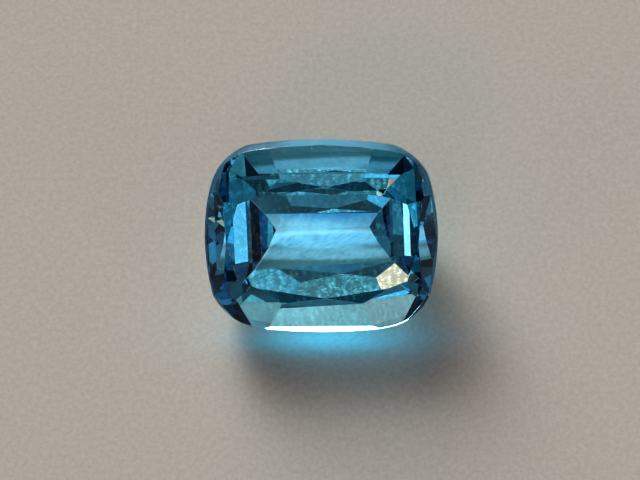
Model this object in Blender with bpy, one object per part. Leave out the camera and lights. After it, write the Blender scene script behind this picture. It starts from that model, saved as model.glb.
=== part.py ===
"""A blue topaz cut as a rectangular cushion, lying on a facet of its pavilion.

The stone is made the way a lapidary makes it. A block of rough is ground to the cushion
outline, the crown and the stepped pavilion are cut facet by facet as flat planes, and the
finished stone is laid down on the facet that it rests on.

Lengths are in metres and angles in degrees. In the cutting frame +Z is square to the table,
+X runs along the stone's length, and z = 0 is the middle of the girdle. Facet angles are
measured from the girdle's plane, and azimuths turn from +X towards +Y.
"""
import math

import bmesh
import bpy
from mathutils import Matrix, Vector

MM = 0.001
NAME = "blue_topaz"

# Girdle outline: long arcs at the ends and sides, joined by rounder arcs at the corners.
HALF_LENGTH = 6.0 * MM
HALF_WIDTH = 5.04 * MM
END_BULGE = 0.55 * MM
SIDE_BULGE = 0.45 * MM
CORNER_RADIUS = 2.70 * MM
CORNER_SHARE = 0.62            # part of the corner's radius that the long arcs leave to it
GIRDLE_THICKNESS = 0.50 * MM
GIRDLE_FLATS = 96

# Crown: a twelve-sided table, four mains, four corner mains, eight stars, four corner breaks.
CROWN_HEIGHT = 1.47 * MM
TABLE_CENTRE = (0.10 * MM, 0.0)
TABLE_HALF_LENGTH = 4.88 * MM
TABLE_HALF_WIDTH = 2.89 * MM
TABLE_SIDE_POINT_X = 0.27 * MM
TABLE_CORNER_INNER = (3.35 * MM, 2.36 * MM)
TABLE_CORNER_OUTER = (4.31 * MM, 2.00 * MM)
SIDE_STAR = {1: (2.62 * MM, 0.42 * MM), -1: (3.10 * MM, 0.47 * MM)}   # back and front
END_STAR = (0.22 * MM, 2.59 * MM)
BREAK_ANGLE = 58.0
BREAK_AZIMUTH = {1: 32.0, -1: 48.0}                                    # back and front

# Pavilion: three steps along each side, end and corner, out from a straight keel. A side's steps
# are turned a little about the stone's axis, so the keel and the step edges aren't quite parallel.
KEEL_HALF_LENGTH = 2.42 * MM
KEEL_CENTRE = (0.0, 0.0)
PAVILION_DEPTH = 4.45 * MM
SIDE_STEPS = {1: ((0.87 * MM, 29.5), (1.93 * MM, 36.0)),
              -1: ((0.82 * MM, 25.0), (1.84 * MM, 34.0))}              # back and front
SIDE_TWIST = {1: 0.6, -1: 3.8}                                         # back and front
END_STEPS = ((3.70 * MM, 41.5), (4.60 * MM, 44.0))
CORNER_STEPS = ((4.12 * MM, 21.5), (4.49 * MM, 33.0))
CORNER_AZIMUTH = 50.0
CORNER_START = -0.02 * MM
TWIST = 2.1                                                            # ends and corners

# The stone lies on the middle step of its front side.
REST_SIDE = -1
REST_STEP = 1

# Grinding
ROUGH_MARGIN = 1.5 * MM
CUT_TOLERANCE = 1e-8
JOIN_DISTANCE = 2e-6

TOPAZ_BLUE = (0.22, 0.62, 0.80, 1.0)
TOPAZ_IOR = 1.62
POLISH_ROUGHNESS = 0.02


def clear_scene():
    """Remove the objects that a new file starts with."""
    for item in list(bpy.data.objects):
        bpy.data.objects.remove(item, do_unlink=True)


def direction(azimuth, angle):
    """Outward normal of a facet at an azimuth; angles past 90 degrees face down."""
    turn = math.radians(azimuth)
    tilt = math.radians(angle)
    return Vector((math.sin(tilt) * math.cos(turn), math.sin(tilt) * math.sin(turn), math.cos(tilt)))


def corner_circle():
    """Centre of the first corner's arc, inside and touching the side's and the end's arcs."""
    reach_x = HALF_LENGTH - CORNER_SHARE * CORNER_RADIUS
    reach_y = HALF_WIDTH - CORNER_SHARE * CORNER_RADIUS
    side_radius = (reach_x ** 2 + SIDE_BULGE ** 2) / (2 * SIDE_BULGE)
    end_radius = (reach_y ** 2 + END_BULGE ** 2) / (2 * END_BULGE)
    side_centre = Vector((0.0, HALF_WIDTH - side_radius))
    end_centre = Vector((HALF_LENGTH - end_radius, 0.0))
    to_side = side_radius - CORNER_RADIUS
    to_end = end_radius - CORNER_RADIUS
    apart = end_centre - side_centre
    along = (to_side ** 2 - to_end ** 2 + apart.length_squared) / (2 * apart.length)
    across = math.sqrt(to_side ** 2 - along ** 2)
    unit = apart.normalized()
    corner = side_centre + unit * along + Vector((unit.y, -unit.x)) * across
    return corner, side_centre, side_radius, end_centre, end_radius


def outline_reach(azimuth):
    """Distance from the stone's centre to the girdle's tangent that faces an azimuth."""
    corner, side_centre, side_radius, end_centre, end_radius = corner_circle()
    turn = math.radians(azimuth)
    facing = Vector((abs(math.cos(turn)), abs(math.sin(turn))))
    bearing = math.atan2(facing.y, facing.x)
    to_corner = corner - side_centre
    side_from = math.atan2(to_corner.y, to_corner.x)
    to_corner = corner - end_centre
    end_until = math.atan2(to_corner.y, to_corner.x)
    if bearing >= side_from:
        return facing.dot(side_centre) + side_radius
    if bearing <= end_until:
        return facing.dot(end_centre) + end_radius
    return facing.dot(corner) + CORNER_RADIUS


def block_of_rough():
    """A plain block, larger than the finished stone."""
    stone = bmesh.new()
    bmesh.ops.create_cube(stone, size=2.0)
    deepest = PAVILION_DEPTH + GIRDLE_THICKNESS + ROUGH_MARGIN
    size = Vector((HALF_LENGTH + ROUGH_MARGIN, HALF_WIDTH + ROUGH_MARGIN, deepest))
    bmesh.ops.scale(stone, vec=size, verts=stone.verts)
    return stone


def cut(stone, point, normal):
    """Grind away all that lies beyond a plane and close the stone with its flat facet."""
    everything = stone.verts[:] + stone.edges[:] + stone.faces[:]
    bmesh.ops.bisect_plane(stone, geom=everything, dist=CUT_TOLERANCE, plane_co=point,
                           plane_no=normal, clear_outer=True)
    rim = [edge for edge in stone.edges if edge.is_boundary]
    if rim:
        bmesh.ops.holes_fill(stone, edges=rim, sides=0)


def facing_up(normal):
    """The same plane's normal, on the side that points up."""
    return normal if normal.z > 0 else -normal


def cut_girdle(stone):
    """Grind the block round to the cushion outline."""
    for flat in range(GIRDLE_FLATS):
        azimuth = (flat + 0.5) * 360.0 / GIRDLE_FLATS
        normal = direction(azimuth, 90.0)
        cut(stone, normal * outline_reach(azimuth), normal)


def cut_crown(stone):
    """Cut the table, and the mains, stars and breaks around it."""
    top = GIRDLE_THICKNESS / 2
    table_height = top + CROWN_HEIGHT
    centre = Vector((TABLE_CENTRE[0], TABLE_CENTRE[1], table_height))
    cut(stone, centre, Vector((0.0, 0.0, 1.0)))
    side_point = {}
    end_point = {}
    side_slope = {}
    end_slope = {}
    for way in (1, -1):
        side_point[way] = Vector((TABLE_SIDE_POINT_X, centre.y + way * TABLE_HALF_WIDTH, table_height))
        side_slope[way] = CROWN_HEIGHT / (HALF_WIDTH - abs(side_point[way].y))
        cut(stone, side_point[way], Vector((0.0, way * side_slope[way], 1.0)).normalized())
        end_point[way] = Vector((centre.x + way * TABLE_HALF_LENGTH, centre.y, table_height))
        end_slope[way] = CROWN_HEIGHT / (HALF_LENGTH - abs(end_point[way].x))
        cut(stone, end_point[way], Vector((way * end_slope[way], 0.0, 1.0)).normalized())
    for x_way in (1, -1):
        for y_way in (1, -1):
            inner = centre + Vector((x_way * TABLE_CORNER_INNER[0], y_way * TABLE_CORNER_INNER[1], 0.0))
            outer = centre + Vector((x_way * TABLE_CORNER_OUTER[0], y_way * TABLE_CORNER_OUTER[1], 0.0))
            cut_corner_main(stone, inner, outer, x_way, y_way)
            reach, drop = SIDE_STAR[y_way]
            meet = Vector((centre.x + x_way * reach, side_point[y_way].y + y_way * drop,
                           table_height - drop * side_slope[y_way]))
            cut_star(stone, side_point[y_way], inner, meet)
            drop, reach = END_STAR
            meet = Vector((end_point[x_way].x + x_way * drop, centre.y + y_way * reach,
                           table_height - drop * end_slope[x_way]))
            cut_star(stone, end_point[x_way], outer, meet)
            cut_corner_break(stone, x_way, y_way)


def cut_corner_main(stone, inner, outer, x_way, y_way):
    """Cut the main facet from a cut corner of the table down to the girdle."""
    edge = outer - inner
    azimuth = math.degrees(math.atan2(y_way * abs(edge.x), x_way * abs(edge.y)))
    facing = direction(azimuth, 90.0)
    run = outline_reach(azimuth) - facing.dot(inner)
    cut(stone, inner, direction(azimuth, math.degrees(math.atan2(CROWN_HEIGHT, run))))


def cut_star(stone, table_point, table_corner, meet):
    """Cut the flat facet through a table edge and the point where its neighbours meet."""
    normal = (table_corner - table_point).cross(meet - table_point).normalized()
    cut(stone, table_point, facing_up(normal))


def cut_corner_break(stone, x_way, y_way):
    """Cut the small facet that runs from the corner main down to the girdle's corner."""
    azimuth = y_way * (BREAK_AZIMUTH[y_way] if x_way > 0 else 180.0 - BREAK_AZIMUTH[y_way])
    foot = direction(azimuth, 90.0) * outline_reach(azimuth)
    foot.z = GIRDLE_THICKNESS / 2
    cut(stone, foot, direction(azimuth, BREAK_ANGLE))


def step_planes(azimuth, start, steps):
    """Point and normal of each step of one side of the pavilion, from the keel outwards."""
    facing = direction(azimuth, 90.0)
    keel = Vector((KEEL_CENTRE[0], KEEL_CENTRE[1], 0.0))
    girdle_reach = outline_reach(azimuth) - facing.dot(keel)
    girdle_height = -GIRDLE_THICKNESS / 2
    reach = start
    height = girdle_height - PAVILION_DEPTH
    planes = []
    for next_reach, angle in steps:
        planes.append((keel + facing * reach + Vector((0, 0, height)), direction(azimuth, 180.0 - angle)))
        height += (next_reach - reach) * math.tan(math.radians(angle))
        reach = next_reach
    last_angle = math.degrees(math.atan2(girdle_height - height, girdle_reach - reach))
    planes.append((keel + facing * reach + Vector((0, 0, height)), direction(azimuth, 180.0 - last_angle)))
    return planes


def side_planes(way):
    """The steps of the back or the front side."""
    return step_planes(90.0 * way + SIDE_TWIST[way], 0.0, SIDE_STEPS[way])


def cut_pavilion(stone):
    """Cut the steps of the two sides, the two ends and the four corners."""
    corner_start = KEEL_HALF_LENGTH * math.cos(math.radians(CORNER_AZIMUTH)) + CORNER_START
    planes = side_planes(1) + side_planes(-1)
    for azimuth in (0.0, 180.0):
        planes += step_planes(azimuth + TWIST, KEEL_HALF_LENGTH, END_STEPS)
    for y_way in (1, -1):
        for azimuth in (CORNER_AZIMUTH, 180.0 - CORNER_AZIMUTH):
            planes += step_planes(y_way * azimuth + TWIST, corner_start, CORNER_STEPS)
    for point, normal in planes:
        cut(stone, point, normal)


def lying_down(stone):
    """The turn and shift that lay the cut stone on its resting facet, centred on the origin."""
    resting = side_planes(REST_SIDE)[REST_STEP][1]
    turn = resting.rotation_difference(Vector((0.0, 0.0, -1.0))).to_matrix().to_4x4()
    corners = [turn @ vert.co for vert in stone.verts]
    low = Vector([min(corner[axis] for corner in corners) for axis in range(3)])
    high = Vector([max(corner[axis] for corner in corners) for axis in range(3)])
    shift = Vector((-(low.x + high.x) / 2, -(low.y + high.y) / 2, -low.z))
    return Matrix.Translation(shift) @ turn


def topaz_material():
    """Clear blue stone with polished facets."""
    material = bpy.data.materials.new("topaz")
    material.use_nodes = True
    shader = material.node_tree.nodes["Principled BSDF"]
    shader.inputs["Base Color"].default_value = TOPAZ_BLUE
    shader.inputs["Metallic"].default_value = 0.0
    shader.inputs["Roughness"].default_value = POLISH_ROUGHNESS
    shader.inputs["IOR"].default_value = TOPAZ_IOR
    shader.inputs["Transmission Weight"].default_value = 1.0
    return material


def make_stone():
    """Cut the whole stone and put it in the scene, lying on its resting facet."""
    stone = block_of_rough()
    cut_girdle(stone)
    cut_crown(stone)
    cut_pavilion(stone)
    bmesh.ops.remove_doubles(stone, verts=stone.verts, dist=JOIN_DISTANCE)
    bmesh.ops.recalc_face_normals(stone, faces=stone.faces)
    placement = lying_down(stone)
    mesh = bpy.data.meshes.new(NAME)
    stone.to_mesh(mesh)
    stone.free()
    mesh.materials.append(topaz_material())
    gem = bpy.data.objects.new(NAME, mesh)
    gem.matrix_world = placement
    return gem


def main():
    clear_scene()
    collection = bpy.data.collections.new("blue topaz gemstone")
    bpy.context.scene.collection.children.link(collection)
    collection.objects.link(make_stone())


main()
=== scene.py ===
"""Looks of the loose blue topaz: its polished facets and ground girdle, with a staged floor and light.

The stone's own look is its material. The painted glow and painted blue shadow on the floor and the tinted,
speckled
lamps are staging: they set the colours that the stone refracts, and aren't part of it.
"""
import math

import bmesh
import bpy
from mathutils import Matrix, Vector


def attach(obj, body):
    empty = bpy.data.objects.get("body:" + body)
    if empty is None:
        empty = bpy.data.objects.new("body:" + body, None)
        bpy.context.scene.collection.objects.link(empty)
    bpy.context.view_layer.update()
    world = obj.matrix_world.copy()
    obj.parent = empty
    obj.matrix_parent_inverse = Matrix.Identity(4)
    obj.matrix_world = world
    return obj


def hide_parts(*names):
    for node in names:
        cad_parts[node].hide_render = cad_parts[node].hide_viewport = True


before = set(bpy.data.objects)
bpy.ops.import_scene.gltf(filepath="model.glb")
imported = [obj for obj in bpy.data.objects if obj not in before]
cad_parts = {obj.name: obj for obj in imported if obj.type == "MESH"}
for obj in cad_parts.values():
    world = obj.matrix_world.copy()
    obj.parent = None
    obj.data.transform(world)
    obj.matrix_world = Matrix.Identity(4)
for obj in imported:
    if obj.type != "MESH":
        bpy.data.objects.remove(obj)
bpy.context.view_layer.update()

MM = 0.001

# The stone
NODE = "blue_topaz"
WELD_DISTANCE = 1e-6
FLAT_ANGLE = math.radians(0.15)      # triangles that lie this flat are one facet
EDGE_WEAR = 0.020 * MM               # how wide a worn facet edge is
EDGE_ANGLE = math.radians(5.0)       # an edge flatter than this lies within the round girdle
CUT_DISTANCE = 1e-7
LEAST_EDGES = 3                      # a cut with fewer edges than this left no facet
RIM_RISE = math.radians(27.0)        # how far the rim facets lean back from the girdle
RIM_DEPTH = 0.04 * MM
RIM_BACK_DEPTH = 0.09 * MM           # what the rim facets at the very back are cut deeper by
RIM_BACK_POWER = 4                   # how quickly that extra depth fades towards the ends
RIM_MATT_FROM = -0.5                 # a rim facet whose normal's Y is above this is ground matt
FRONT_BREAK_RISE = math.radians(42.0)   # one wider facet ground on the front of the rim
FRONT_BREAK_TURN = math.radians(1.0)
FRONT_BREAK_DEPTH = 0.11 * MM
GIRDLE_LEAN = math.sin(math.radians(4.0))
TOPAZ_IOR = 1.62
ABSORPTION_COLOUR = (0.10, 0.72, 0.90, 1.0)
ABSORPTION_DENSITY = 150.0           # per metre
POLISH_ROUGHNESS = 0.0
GIRDLE_ROUGHNESS = 0.50
GIRDLE_GRAIN = 14000.0               # grains per metre
GIRDLE_DEPTH = 0.004 * MM
POLISH_LINES = 5200.0                # lines per metre, across the lines
POLISH_TURN = math.radians(28.0)
POLISH_STRETCH = 16.0
POLISH_DETAIL = 2.0
POLISH_DEPTH = 0.00012 * MM
WAVES = 420.0                        # shallow waves in the polish, per metre
WAVE_DETAIL = 1.0
WAVE_DEPTH = 0.0008 * MM
DUST_CELLS = 2600.0                  # cells per metre, each of which can hold one speck
DUST_SIZE = 0.055                    # a speck's radius, as a share of a cell
DUST_SHARE = 0.22                    # how many of the cells hold a speck
DUST_ROUGHNESS = 0.35

# The fine grain of the girdle and the floor
GRAIN_DETAIL = 4.0
GRAIN_ROUGHNESS = 0.65

# The floor
FLOOR_HALF_SIZE = 1.5
FLOOR_SHADE = (0.70, 0.72, 0.69, 1.0)
FLOOR_COLOUR = (0.78, 0.80, 0.77, 1.0)
FLOOR_RAMP = (0.35, 0.65)            # grain at which the floor has its shade and its full colour
FLOOR_GRAIN = 4000.0
FLOOR_ROUGHNESS = 0.8
FLOOR_DROP = 0.02 * MM               # gap that keeps the resting facet off the floor

# Staged glow on the floor, in place of the light that a real stone gathers there. Each soft oval
# spot has its centre and half sizes in millimetres, its colour and how firm its edge is.
GATHERED = {
    "bright": ((-0.2, 2.15), (4.0, 0.58), (0.26, 0.40, 0.50), 3.0),
    "middle": ((-0.2, 1.25), (4.7, 0.42), (0.20, 0.25, 0.29), 3.0),
    "back": ((-0.2, 3.0), (4.0, 0.30), (0.00, 0.08, 0.17), 2.0),
    "wide": ((0.0, 0.5), (5.0, 3.5), (0.06, 0.11, 0.10), 1.0),
    "front": ((0.2, -4.2), (3.4, 0.65), (0.00, 0.17, 0.27), 1.0),
    "front_wide": ((0.6, -3.9), (5.8, 1.5), (0.00, 0.06, 0.09), 1.0),
}
STREAKS = 7000.0                     # fine streaks in the glow, per metre
STREAK_DETAIL = 2.0
STREAK_STRETCH = 4.0
STREAK_TURN = math.radians(35.0)
STREAK_RANGE = (0.50, 1.45)          # how dim and how bright a streak gets

# A painted shadow on the floor under the back of the stone, tinted blue: the colour here is what is taken
# away from the floor's colour
PAINTED_BLUE_SHADOW = ((-0.2, 3.05), (4.0, 0.32), (0.90, 0.60, 0.10), 2.0)

# The camera, with its angles in degrees
CAMERA_AZIMUTH = 9.8
CAMERA_ELEVATION = 67.1
CAMERA_ROLL = -9.2
CAMERA_DISTANCE = 110.0 * MM
CAMERA_LENS = 120.0
CAMERA_CLIP = 5.0 * MM
CAMERA_AIM = Vector((-0.06, -0.17, 3.98)) * MM

# Soft lamps in the sky: azimuth, elevation and spread in degrees, brightness, colour, and how speckled
SKY_LAMPS = {
    "key": (205.0, 33.0, 9.0, 10.0, (1.0, 0.98, 0.95), 0.2),
    "back_low": (186.0, 20.0, 5.0, 2.2, (1.3, 1.0, 0.90), 0.1),
    "back_middle": (184.0, 38.0, 4.0, 1.35, (1.0, 1.0, 1.0), 0.1),
    "back_high": (180.0, 52.0, 8.0, 0.40, (1.2, 1.0, 0.80), 0.2),
    "back_left_high": (205.0, 68.0, 6.0, 0.50, (1.4, 1.0, 0.85), 0.2),
    "back_right_high": (166.0, 68.0, 6.0, 0.26, (1.2, 1.0, 0.80), 0.2),
    "front": (-5.0, 36.0, 7.0, 0.46, (1.1, 1.0, 0.80), 0.8),
    "front_middle": (-1.0, 42.0, 3.5, 0.25, (0.8, 1.0, 1.0), 0.2),
    "front_left_high": (-25.0, 57.0, 4.0, 0.75, (0.7, 1.0, 1.1), 0.2),
    "front_high": (-8.0, 66.0, 8.0, 0.19, (1.0, 1.0, 0.86), 0.2),
    "front_right": (14.0, 50.0, 4.0, 0.5, (1.0, 1.0, 0.80), 0.2),
    "right_low": (58.0, 26.0, 5.0, 1.2, (1.0, 1.0, 1.0), 0.2),
    "left_low": (-63.0, 19.0, 5.0, 1.4, (1.6, 1.0, 0.80), 0.2),
    "left_high": (-65.0, 67.0, 8.0, 0.35, (1.0, 1.0, 1.0), 0.2),
    "right_high": (46.0, 49.0, 6.0, 0.35, (1.0, 1.0, 0.85), 0.2),
    "warm": (-20.0, 33.0, 3.5, 6.5, (1.05, 0.26, 0.12), 0.5),
}
SKY_COLOUR = (0.7, 0.9, 1.4)
SKY_BRIGHTNESS = 0.014
SKY_MOTTLE_SCALE = 40.0
SKY_MOTTLE = (0.7, 1.3)              # how dim and how bright the mottled light gets
SKY_MOTTLE_DETAIL = 1.0
SKY_SPECKS = 400.0                   # how finely the lamps are speckled, one bright speck for each cell
SKY_SPECK_SIZE = 0.50                # how far a speck fades out, as a share of a cell
SKY_SPECKLE = (0.55, 3.8)            # how dim and how bright the speckled light gets
BACKDROP_COLOUR = (0.30, 0.30, 0.29, 1.0)

# Light paths and colour
VIEW_TRANSFORM = "Standard"
VIEW_LOOK = "Very High Contrast"
STONE_BOUNCES = 32                   # the stone folds its light many times
GLOSSY_BOUNCES = 8


def facet_mesh():
    """The CAD stone as whole flat facets, in a bmesh."""
    stone = bmesh.new()
    stone.from_mesh(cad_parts[NODE].data)
    stone.transform(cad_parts[NODE].matrix_world)
    bmesh.ops.remove_doubles(stone, verts=stone.verts, dist=WELD_DISTANCE)
    bmesh.ops.dissolve_limit(stone, angle_limit=FLAT_ANGLE, verts=stone.verts, edges=stone.edges)
    return stone


def table_normal(stone):
    """Outward normal of the largest facet, the table."""
    table = max(stone.faces, key=lambda face: face.calc_area())
    return table.normal.copy()


def math_node(tree, operation, first, second):
    """A maths node; each value is an output or a plain number."""
    node = tree.nodes.new("ShaderNodeMath")
    node.operation = operation
    for place, value in enumerate((first, second)):
        if isinstance(value, float):
            node.inputs[place].default_value = value
        else:
            tree.links.new(value, node.inputs[place])
    return node.outputs[0]


def vector_node(tree, operation, first, second):
    """A vector maths node; each value is an output or a plain triple."""
    node = tree.nodes.new("ShaderNodeVectorMath")
    node.operation = operation
    for place, value in enumerate((first, second)):
        if isinstance(value, (tuple, Vector)):
            node.inputs[place].default_value = value
        else:
            tree.links.new(value, node.inputs[place])
    return node.outputs["Value"] if operation == "DOT_PRODUCT" else node.outputs["Vector"]


def scale_node(tree, vector, amount):
    """A vector or colour, an output or a plain triple, times a number from an output."""
    node = tree.nodes.new("ShaderNodeVectorMath")
    node.operation = "SCALE"
    if isinstance(vector, (tuple, Vector)):
        node.inputs[0].default_value = vector
    else:
        tree.links.new(vector, node.inputs[0])
    tree.links.new(amount, node.inputs["Scale"])
    return node.outputs["Vector"]


def noise_node(tree, place, scale, detail):
    """Soft noise between 0 and 1 at a place."""
    noise = tree.nodes.new("ShaderNodeTexNoise")
    noise.inputs["Scale"].default_value = scale
    noise.inputs["Detail"].default_value = detail
    tree.links.new(place, noise.inputs["Vector"])
    return noise.outputs["Fac"]


def stretched_place(tree, place, turn, stretch):
    """A place whose patterns come out stretched along a line that is turned from the X axis."""
    mapping = tree.nodes.new("ShaderNodeMapping")
    mapping.vector_type = "TEXTURE"
    mapping.inputs["Rotation"].default_value = (0.0, 0.0, turn)
    mapping.inputs["Scale"].default_value = (stretch, 1.0, 1.0)
    tree.links.new(place, mapping.inputs["Vector"])
    return mapping.outputs["Vector"]


def mix_node(tree, amount, low, high):
    """A number that goes from low to high as amount goes from 0 to 1."""
    node = tree.nodes.new("ShaderNodeMapRange")
    node.inputs["To Min"].default_value = low
    node.inputs["To Max"].default_value = high
    tree.links.new(amount, node.inputs["Value"])
    return node.outputs["Result"]


def new_group(name, inputs, outputs):
    """An empty shader node group, with number sockets and a vector one for the place.

    Gives its tree, entry and exit.
    """
    tree = bpy.data.node_groups.new(name, "ShaderNodeTree")
    for title in inputs:
        kind = "NodeSocketVector" if title == "Place" else "NodeSocketFloat"
        tree.interface.new_socket(title, in_out="INPUT", socket_type=kind)
    for title in outputs:
        tree.interface.new_socket(title, in_out="OUTPUT", socket_type="NodeSocketFloat")
    entry = tree.nodes.new("NodeGroupInput")
    leave = tree.nodes.new("NodeGroupOutput")
    return tree, entry, leave


def grain_group():
    """Fine irregular grain, for the ground girdle and for the floor."""
    tree, entry, leave = new_group("fine_grain", ("Place", "Scale"), ("Grain",))
    noise = tree.nodes.new("ShaderNodeTexNoise")
    noise.inputs["Detail"].default_value = GRAIN_DETAIL
    noise.inputs["Roughness"].default_value = GRAIN_ROUGHNESS
    tree.links.new(entry.outputs["Place"], noise.inputs["Vector"])
    tree.links.new(entry.outputs["Scale"], noise.inputs["Scale"])
    tree.links.new(noise.outputs["Fac"], leave.inputs["Grain"])
    return tree


def polish_group():
    """Height of the faint lines and shallow waves that polishing leaves on a facet."""
    tree, entry, leave = new_group("polish_marks", ("Place",), ("Height",))
    turned = stretched_place(tree, entry.outputs["Place"], POLISH_TURN, POLISH_STRETCH)
    lines = noise_node(tree, turned, POLISH_LINES, POLISH_DETAIL)
    waves = noise_node(tree, entry.outputs["Place"], WAVES, WAVE_DETAIL)
    lines = math_node(tree, "MULTIPLY", lines, POLISH_DEPTH)
    waves = math_node(tree, "MULTIPLY", waves, WAVE_DEPTH)
    tree.links.new(math_node(tree, "ADD", lines, waves), leave.inputs["Height"])
    return tree


def dust_group():
    """Mask of sparse specks of dust."""
    tree, entry, leave = new_group("dust_specks", ("Place", "Cells", "Size", "Share"), ("Mask",))
    cells = tree.nodes.new("ShaderNodeTexVoronoi")
    tree.links.new(entry.outputs["Place"], cells.inputs["Vector"])
    tree.links.new(entry.outputs["Cells"], cells.inputs["Scale"])
    near = math_node(tree, "LESS_THAN", cells.outputs["Distance"], entry.outputs["Size"])
    split = tree.nodes.new("ShaderNodeSeparateColor")
    tree.links.new(cells.outputs["Color"], split.inputs["Color"])
    chosen = math_node(tree, "LESS_THAN", split.outputs["Red"], entry.outputs["Share"])
    tree.links.new(math_node(tree, "MULTIPLY", near, chosen), leave.inputs["Mask"])
    return tree


def place_group(tree, group, place, **values):
    """Puts a node group in a tree, fed with a place and its own numbers."""
    node = tree.nodes.new("ShaderNodeGroup")
    node.node_tree = group
    tree.links.new(place, node.inputs["Place"])
    for title, value in values.items():
        node.inputs[title].default_value = value
    return node.outputs[0]


def topaz_material(grain):
    """Polished blue topaz, ground matt where the girdle mask says so."""
    material = bpy.data.materials.new("topaz")
    material.use_nodes = True
    tree = material.node_tree
    shader = tree.nodes["Principled BSDF"]
    shader.inputs["Base Color"].default_value = (1.0, 1.0, 1.0, 1.0)
    shader.inputs["IOR"].default_value = TOPAZ_IOR
    shader.inputs["Transmission Weight"].default_value = 1.0
    volume = tree.nodes.new("ShaderNodeVolumeAbsorption")
    volume.inputs["Color"].default_value = ABSORPTION_COLOUR
    volume.inputs["Density"].default_value = ABSORPTION_DENSITY
    tree.links.new(volume.outputs["Volume"], tree.nodes["Material Output"].inputs["Volume"])
    mask = tree.nodes.new("ShaderNodeAttribute")
    mask.attribute_name = "girdle"
    ground = mask.outputs["Fac"]
    place = tree.nodes.new("ShaderNodeTexCoord").outputs["Object"]
    grains = place_group(tree, grain, place, Scale=GIRDLE_GRAIN)
    marks = place_group(tree, polish_group(), place)
    specks = place_group(tree, dust_group(), place, Cells=DUST_CELLS, Size=DUST_SIZE, Share=DUST_SHARE)
    polished = mix_node(tree, specks, POLISH_ROUGHNESS, DUST_ROUGHNESS)
    rough = math_node(tree, "MAXIMUM", polished, math_node(tree, "MULTIPLY", ground, GIRDLE_ROUGHNESS))
    tree.links.new(rough, shader.inputs["Roughness"])
    frost = math_node(tree, "MULTIPLY", math_node(tree, "MULTIPLY", grains, ground), GIRDLE_DEPTH)
    bump = tree.nodes.new("ShaderNodeBump")
    bump.inputs["Distance"].default_value = 1.0
    tree.links.new(math_node(tree, "ADD", frost, marks), bump.inputs["Height"])
    tree.links.new(bump.outputs["Normal"], shader.inputs["Normal"])
    return material


def cut_facet(stone, point, normal):
    """Grinds one flat facet on the stone: everything outside the plane goes."""
    geometry = list(stone.verts) + list(stone.edges) + list(stone.faces)
    cut = bmesh.ops.bisect_plane(stone, geom=geometry, dist=CUT_DISTANCE, plane_co=point, plane_no=normal,
                                 clear_outer=True)
    outline = [item for item in cut["geom_cut"] if isinstance(item, bmesh.types.BMEdge)]
    if len(outline) >= LEAST_EDGES:
        bmesh.ops.contextual_create(stone, geom=outline)


def leaning(outward, up, rise):
    """Direction that leans from outward towards up by an angle."""
    return outward * math.cos(rise) + up * math.sin(rise)


def outermost(stone, normal):
    """The corner of the stone that reaches furthest along a direction."""
    return max((vert.co for vert in stone.verts), key=normal.dot).copy()


def round_rim(stone, up):
    """Takes off the sharp rim where the crown meets the girdle.

    Each girdle flat gets one narrow facet above it, and the front gets one wider break facet.
    """
    front = Vector((0.0, -1.0, 0.0))
    front = (front - up * front.dot(up)).normalized()
    cuts = []
    for face in stone.faces:
        if abs(face.normal.dot(up)) < GIRDLE_LEAN:
            normal = leaning(face.normal, up, RIM_RISE)
            facing_back = max(0.0, -face.normal.dot(front))
            depth = RIM_DEPTH + RIM_BACK_DEPTH * facing_back ** RIM_BACK_POWER
            cuts.append((outermost(stone, normal) - normal * depth, normal))
    for point, normal in cuts:
        cut_facet(stone, point, normal)
    turned = Matrix.Rotation(FRONT_BREAK_TURN, 3, up) @ front
    normal = leaning(turned, up, FRONT_BREAK_RISE)
    cut_facet(stone, outermost(stone, normal) - normal * FRONT_BREAK_DEPTH, normal)


def wear_edges(stone):
    """Wears the sharp facet edges by a hair. The stone is convex, so plane cuts can do it."""
    cuts = []
    for edge in stone.edges:
        first, second = edge.link_faces
        angle = first.normal.angle(second.normal)
        if angle > EDGE_ANGLE and edge.calc_length() > EDGE_WEAR:
            normal = (first.normal + second.normal).normalized()
            depth = EDGE_WEAR / 2.0 * math.tan(angle / 2.0)
            cuts.append((edge.verts[0].co - normal * depth, normal))
    for point, normal in cuts:
        cut_facet(stone, point, normal)
    bmesh.ops.recalc_face_normals(stone, faces=stone.faces)


def make_stone(grain):
    """The dressed stone, with its edges worn and its girdle marked."""
    stone = facet_mesh()
    up = table_normal(stone)
    round_rim(stone, up)
    wear_edges(stone)
    matt = stone.faces.layers.float.new("girdle")
    for face in stone.faces:
        lean = face.normal.dot(up)
        on_rim = abs(lean - math.sin(RIM_RISE)) < GIRDLE_LEAN
        face.smooth = abs(lean) < GIRDLE_LEAN
        face[matt] = float(face.smooth or (on_rim and face.normal.y > RIM_MATT_FROM))
    mesh = bpy.data.meshes.new("faceted_topaz")
    stone.to_mesh(mesh)
    stone.free()
    piece = bpy.data.objects.new("faceted_topaz", mesh)
    bpy.context.scene.collection.objects.link(piece)
    mesh.materials.append(topaz_material(grain))
    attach(piece, "root")
    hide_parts(NODE)


def soft_spot(tree, place, centre, half_size, colour, firmness):
    """One soft oval spot of a colour on the floor."""
    centred = vector_node(tree, "SUBTRACT", place, (centre[0] * MM, centre[1] * MM, 0.0))
    shape = (1.0 / (half_size[0] * MM), 1.0 / (half_size[1] * MM), 0.0)
    scaled = vector_node(tree, "MULTIPLY", centred, shape)
    distance = vector_node(tree, "DOT_PRODUCT", scaled, scaled)
    distance = math_node(tree, "POWER", distance, firmness)
    glow = math_node(tree, "POWER", math.e, math_node(tree, "MULTIPLY", distance, -1.0))
    return scale_node(tree, colour, glow)


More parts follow.
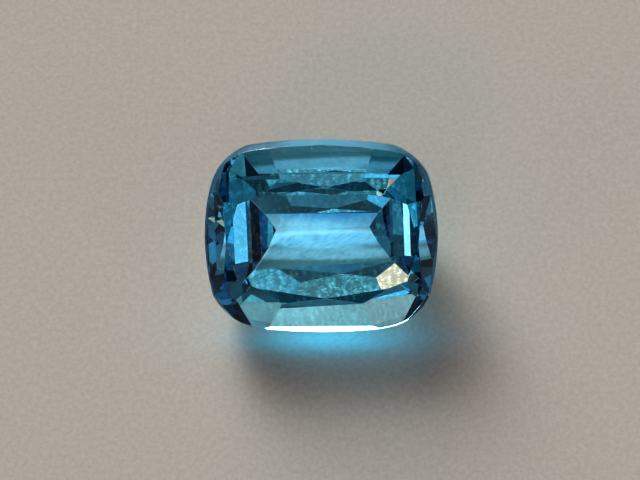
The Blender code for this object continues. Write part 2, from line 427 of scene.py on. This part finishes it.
def gathered_light(tree, place):
    """The staged glow on the floor, as soft spots with fine streaks in them."""
    total = (0.0, 0.0, 0.0)
    for settings in GATHERED.values():
        total = vector_node(tree, "ADD", total, soft_spot(tree, place, *settings))
    turned = stretched_place(tree, place, STREAK_TURN, STREAK_STRETCH)
    streaks = mix_node(tree, noise_node(tree, turned, STREAKS, STREAK_DETAIL), *STREAK_RANGE)
    shader = tree.nodes["Principled BSDF"]
    tree.links.new(scale_node(tree, total, streaks), shader.inputs["Emission Color"])
    shader.inputs["Emission Strength"].default_value = 1.0


def make_floor(grain):
    """A pale floor of fine grained stone, a hair below the resting facet, with the staged glow and a painted
    blue shadow on it.
    """
    floor = bmesh.new()
    bmesh.ops.create_grid(floor, x_segments=1, y_segments=1, size=FLOOR_HALF_SIZE)
    bmesh.ops.translate(floor, vec=(0.0, 0.0, -FLOOR_DROP), verts=floor.verts)
    mesh = bpy.data.meshes.new("floor")
    floor.to_mesh(mesh)
    floor.free()
    item = bpy.data.objects.new("floor", mesh)
    bpy.context.scene.collection.objects.link(item)
    material = bpy.data.materials.new("floor")
    material.use_nodes = True
    tree = material.node_tree
    shader = tree.nodes["Principled BSDF"]
    shader.inputs["Roughness"].default_value = FLOOR_ROUGHNESS
    place = tree.nodes.new("ShaderNodeTexCoord").outputs["Object"]
    ramp = tree.nodes.new("ShaderNodeValToRGB")
    for stop, position, colour in zip(ramp.color_ramp.elements, FLOOR_RAMP, (FLOOR_SHADE, FLOOR_COLOUR)):
        stop.position = position
        stop.color = colour
    tree.links.new(place_group(tree, grain, place, Scale=FLOOR_GRAIN), ramp.inputs["Fac"])
    # Painted blue shadow: the floor's colour is darkened and tinted blue in a soft spot under the stone
    shade = vector_node(tree, "SUBTRACT", (1.0, 1.0, 1.0), soft_spot(tree, place, *PAINTED_BLUE_SHADOW))
    tree.links.new(vector_node(tree, "MULTIPLY", ramp.outputs["Color"], shade), shader.inputs["Base Color"])
    gathered_light(tree, place)
    mesh.materials.append(material)


def bearing(azimuth, elevation):
    """Unit vector towards a compass bearing: 0 is the front, 90 is the right."""
    turn = math.radians(azimuth)
    rise = math.radians(elevation)
    return Vector((math.sin(turn) * math.cos(rise), -math.cos(turn) * math.cos(rise), math.sin(rise)))


def make_camera():
    """The camera, close above the stone on the side that the table leans to."""
    data = bpy.data.cameras.new("camera")
    data.lens = CAMERA_LENS
    data.clip_start = CAMERA_CLIP
    camera = bpy.data.objects.new("camera", data)
    towards = bearing(CAMERA_AZIMUTH, CAMERA_ELEVATION)
    camera.location = CAMERA_AIM + towards * CAMERA_DISTANCE
    turn = towards.to_track_quat("Z", "Y").to_matrix() @ Matrix.Rotation(math.radians(CAMERA_ROLL), 3, "Z")
    camera.rotation_euler = turn.to_euler()
    bpy.context.scene.collection.objects.link(camera)
    bpy.context.scene.camera = camera


def sky_lamp(tree, direction, sky, sparkle, azimuth, elevation, spread, brightness, colour, share):
    """Adds one soft round lamp, with no hard edge, to the colour of the sky; share is how speckled it is."""
    sharpness = 1.0 / math.radians(spread) ** 2
    facing = vector_node(tree, "DOT_PRODUCT", direction, bearing(azimuth, elevation))
    falloff = math_node(tree, "MULTIPLY", math_node(tree, "SUBTRACT", facing, 1.0), sharpness)
    glow = math_node(tree, "POWER", math.e, falloff)
    speckled = math_node(tree, "ADD", math_node(tree, "MULTIPLY", sparkle, share), 1.0 - share)
    glow = math_node(tree, "MULTIPLY", glow, speckled)
    lamp = scale_node(tree, tuple(brightness * part for part in colour), glow)
    return vector_node(tree, "ADD", sky, lamp)


def make_light():
    """A dim soft sky with tinted soft lamps in it, and a plain backdrop that only the camera sees."""
    world = bpy.data.worlds.new("studio")
    bpy.context.scene.world = world
    world.use_nodes = True
    tree = world.node_tree
    direction = tree.nodes.new("ShaderNodeTexCoord").outputs["Generated"]
    sky = tuple(SKY_BRIGHTNESS * part for part in SKY_COLOUR)
    clouds = noise_node(tree, direction, SKY_MOTTLE_SCALE, SKY_MOTTLE_DETAIL)
    mottle = mix_node(tree, clouds, *SKY_MOTTLE)
    cells = tree.nodes.new("ShaderNodeTexVoronoi")
    cells.inputs["Scale"].default_value = SKY_SPECKS
    tree.links.new(direction, cells.inputs["Vector"])
    fade = math_node(tree, "DIVIDE", cells.outputs["Distance"], SKY_SPECK_SIZE)
    sparkle = mix_node(tree, math_node(tree, "SUBTRACT", 1.0, fade), *SKY_SPECKLE)
    for settings in SKY_LAMPS.values():
        sky = sky_lamp(tree, direction, sky, sparkle, *settings)
    background = tree.nodes["Background"]
    tree.links.new(scale_node(tree, sky, mottle), background.inputs["Color"])
    backdrop = tree.nodes.new("ShaderNodeBackground")
    backdrop.inputs["Color"].default_value = BACKDROP_COLOUR
    chooser = tree.nodes.new("ShaderNodeMixShader")
    path = tree.nodes.new("ShaderNodeLightPath")
    tree.links.new(path.outputs["Is Camera Ray"], chooser.inputs["Fac"])
    tree.links.new(background.outputs[0], chooser.inputs[1])
    tree.links.new(backdrop.outputs[0], chooser.inputs[2])
    tree.links.new(chooser.outputs[0], tree.nodes["World Output"].inputs["Surface"])


def set_exposure():
    """A contrasty view of the colours, and enough light bounces for the stone."""
    scene = bpy.context.scene
    scene.view_settings.view_transform = VIEW_TRANSFORM
    scene.view_settings.look = VIEW_LOOK
    scene.cycles.max_bounces = STONE_BOUNCES
    scene.cycles.transmission_bounces = STONE_BOUNCES
    scene.cycles.glossy_bounces = GLOSSY_BOUNCES


make_camera()
FINE_GRAIN = grain_group()
make_stone(FINE_GRAIN)
make_floor(FINE_GRAIN)
make_light()
set_exposure()
